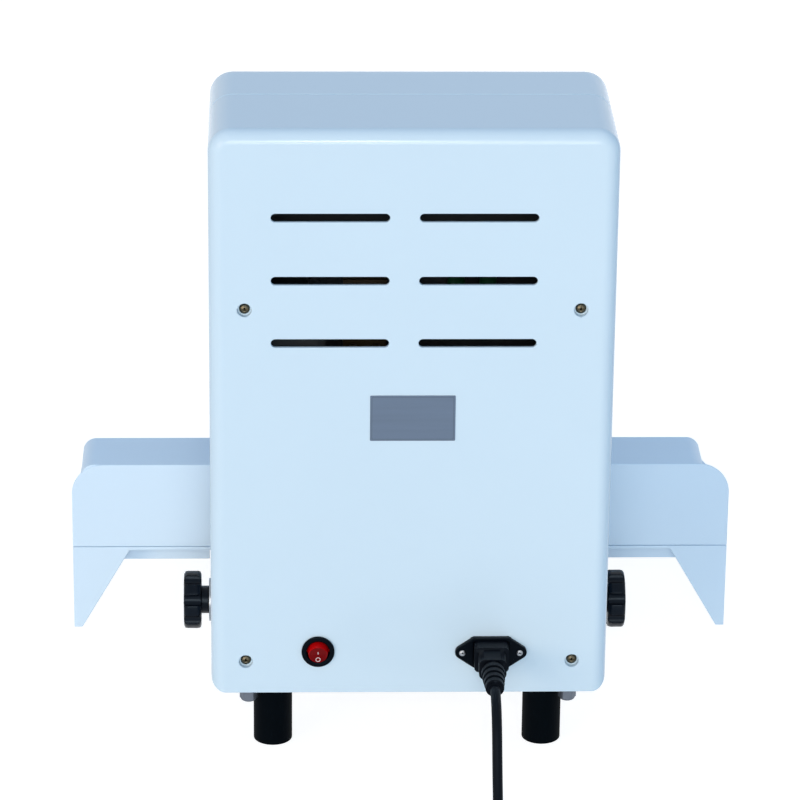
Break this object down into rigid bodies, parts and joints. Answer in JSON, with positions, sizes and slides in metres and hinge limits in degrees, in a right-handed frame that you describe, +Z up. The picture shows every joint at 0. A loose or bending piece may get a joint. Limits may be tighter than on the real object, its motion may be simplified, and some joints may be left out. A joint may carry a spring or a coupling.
{
  "type": "paper drill",
  "caption": "Desk-top electric paper drill with a tall moulded housing, side clamp knobs, sliding table with a long fence, and a motor-fed hollow drill in its head.",
  "frame": {"origin": "on the floor under the middle of the machine without its cord", "axes": "+X to the right seen from behind, +Y from the rear face towards the operator, +Z up"},
  "size_m": [0.486, 0.672, 0.4595],
  "materials": {
    "cover_plastic": "gloss, pale icy white",
    "table_paint": "smooth pale paint",
    "base_paint": "satin grey paint",
    "black_rubber": "matt black",
    "black_plastic": "moulded black",
    "red_plastic": "glossy red",
    "green_plastic": "glossy green",
    "white_nylon": "plain nylon",
    "zinc": "zinc plated",
    "yellow_zinc": "yellow zinc plated",
    "steel": "ground steel",
    "iron": "machined casting",
    "bronze": "sintered bronze",
    "board_green": "printed circuit board",
    "terminal_tan": "phenolic"
  },
  "bodies": {
    "frame": {"base_plate": "base_paint", "rubber_feet": "black_rubber", "foot_screws": "zinc", "base_bolts": "zinc", "column_plate": "base_paint", "cover_posts": "zinc", "cover_brackets": "zinc", "rear_cover": "cover_plastic", "front_cover": "cover_plastic", "cover_screws": "yellow_zinc", "switch_body": "black_plastic", "inlet_socket": "black_plastic", "inlet_pins": "zinc", "inlet_screws": "zinc", "upper_rod_bracket": "iron", "lower_rod_bracket": "iron", "guide_rods": "steel", "feed_motor": "iron", "limit_switches": "black_plastic", "board_tray": "zinc", "control_board": "board_green", "terminal_block": "terminal_tan", "button_bezel": "zinc", "anvil": "iron", "cutting_pad": "white_nylon", "mains_connector": "black_plastic", "cord_free": "black_rubber", "cord_coil": "black_rubber", "cord_tie": "black_plastic", "wall_plug": "black_plastic", "plug_pins": "zinc"},
    "table": {"table_plate": "table_paint", "paper_fence": "table_paint", "table_ribs": "table_paint", "slide_arms": "steel", "arm_screws": "zinc", "clamp_washers": "zinc"},
    "left_knob": {"left_clamp_knob": "black_plastic", "left_clamp_stud": "zinc"},
    "right_knob": {"right_clamp_knob": "black_plastic", "right_clamp_stud": "zinc"},
    "rocker": {"power_rocker": "red_plastic"},
    "button": {"start_button": "green_plastic"},
    "pinion": {"feed_pinion": "bronze"},
    "carriage": {"carriage": "iron", "rod_bushes": "bronze", "spindle_bearings": "steel", "feed_rack": "steel", "motor_plate": "iron", "drill_motor": "steel", "drive_belt": "black_rubber"},
    "spindle": {"spindle": "steel", "spindle_pulley": "steel", "drill_bit": "steel"},
    "motor_rotor": {"motor_pulley": "steel"},
    "presser": {"presser_foot": "steel", "presser_pins": "steel", "presser_springs": "steel"}
  },
  "joints": [
    {"name": "table_slide", "type": "slide", "parent": "frame", "child": "table", "axis": [0, 1, 0], "range_m": [-0.01, 0.01]},
    {"name": "left_knob_turn", "type": "hinge", "parent": "table", "child": "left_knob", "pos_m": [-0.15, -0.0854, 0.0675], "axis": [1, 0, 0], "continuous": true},
    {"name": "right_knob_turn", "type": "hinge", "parent": "table", "child": "right_knob", "pos_m": [0.15, -0.0854, 0.0675], "axis": [1, 0, 0], "continuous": true},
    {"name": "power_switch", "type": "hinge", "parent": "frame", "child": "rocker", "pos_m": [-0.0635, -0.1959, 0.079], "axis": [-1, 0, 0], "range_deg": [0, 24]},
    {"name": "start_press", "type": "slide", "parent": "frame", "child": "button", "axis": [0, -1, 0], "range_m": [0, 0.003], "stiffness_N_per_m": 400},
    {"name": "head_feed", "type": "slide", "parent": "frame", "child": "carriage", "axis": [0, 0, 1], "range_m": [-0.06, 0]},
    {"name": "pinion_turn", "type": "hinge", "parent": "frame", "child": "pinion", "pos_m": [-0.08887, -0.0874, 0.3], "axis": [0, 1, 0], "range_deg": [-5, 235]},
    {"name": "spindle_spin", "type": "hinge", "parent": "carriage", "child": "spindle", "pos_m": [0, 0.0856, 0.28], "axis": [0, 0, 1], "continuous": true},
    {"name": "motor_spin", "type": "hinge", "parent": "carriage", "child": "motor_rotor", "pos_m": [0, -0.0474, 0.28], "axis": [0, 0, 1], "continuous": true},
    {"name": "presser_slide", "type": "slide", "parent": "carriage", "child": "presser", "axis": [0, 0, 1], "range_m": [0, 0.045], "stiffness_N_per_m": 150, "springref_m": -0.01, "deforming": ["presser_springs"]}
  ],
  "couplings": [
    {"joint": "pinion_turn", "follows": "head_feed", "rad_per_m": -66.667},
    {"joint": "motor_spin", "follows": "spindle_spin", "ratio": 2}
  ]
}
